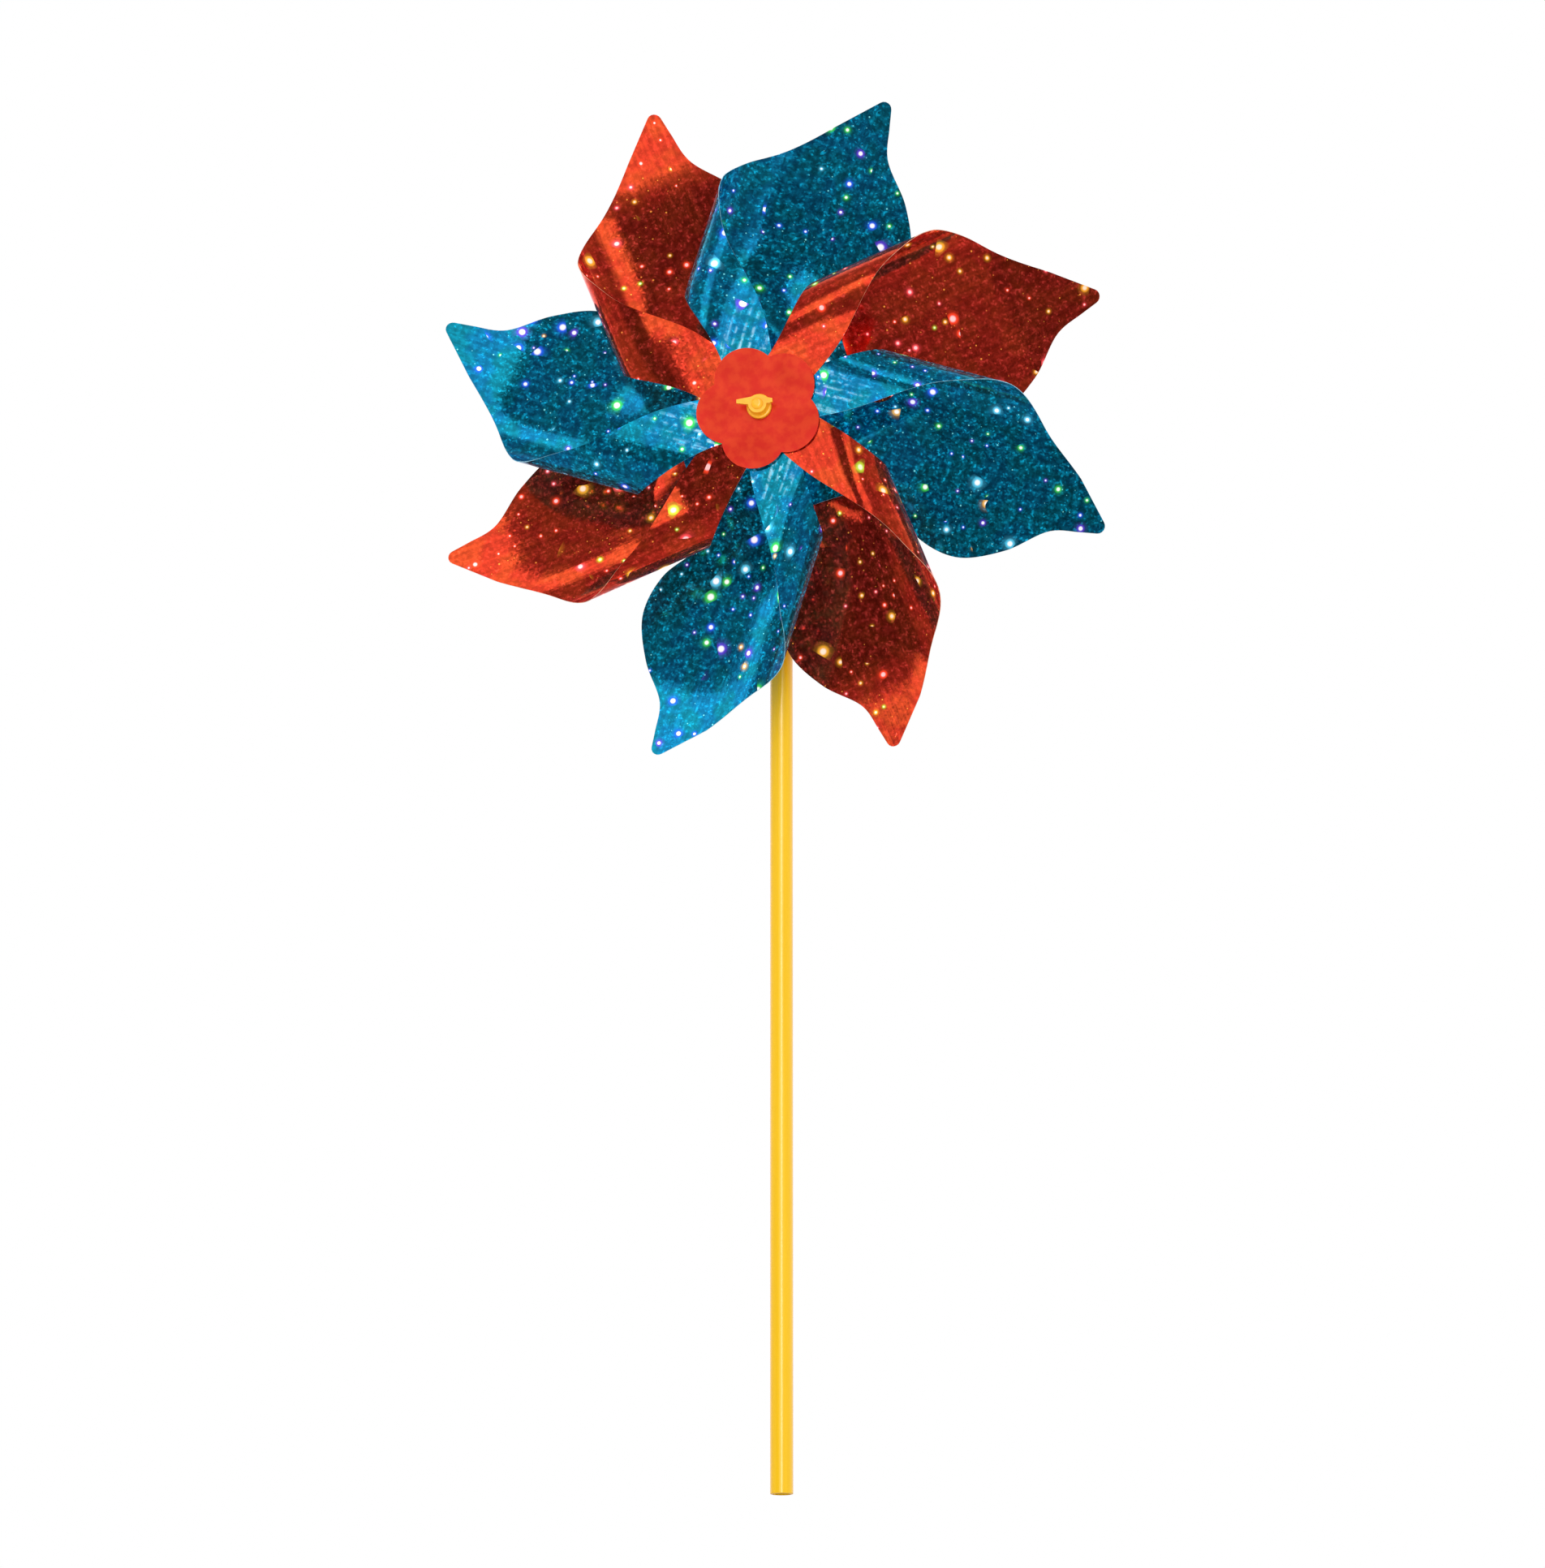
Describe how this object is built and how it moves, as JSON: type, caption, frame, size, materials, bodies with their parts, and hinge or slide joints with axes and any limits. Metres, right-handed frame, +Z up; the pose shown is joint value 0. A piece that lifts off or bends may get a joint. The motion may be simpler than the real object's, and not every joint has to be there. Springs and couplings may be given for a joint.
{
  "type": "pinwheel",
  "caption": "Pinwheel on a hollow stick: two die-cut metallised film stars curled round a pin, with a flower washer and push-on cap; the wheel spins freely.",
  "frame": {"origin": "centre of the stick's bottom end", "axes": "+Z up the stick, the wheel faces -Y, +X to the right seen from the front"},
  "size_m": [0.1466, 0.0364, 0.3073],
  "materials": {
    "stick_plastic": "extruded, glossy",
    "pin_plastic": "moulded, glossy",
    "spacer_plastic": "extruded, translucent white",
    "orange_film": "metallised mirror film with holographic flecks",
    "blue_film": "metallised mirror film with holographic flecks",
    "flower_film": "metallised film, slightly creased"
  },
  "bodies": {
    "handle": {"stick": "stick_plastic", "axle_pin": "pin_plastic", "back_spacer": "spacer_plastic", "axle_cap": "pin_plastic"},
    "wheel": {"hub_spacer": "spacer_plastic", "orange_blade_sheet": "orange_film", "blue_blade_sheet": "blue_film", "flower_washer": "flower_film"}
  },
  "joints": [
    {"name": "wheel_spin", "type": "hinge", "parent": "handle", "child": "wheel", "pos_m": [0, -0.02, 0.234], "axis": [0, -1, 0], "continuous": true}
  ]
}
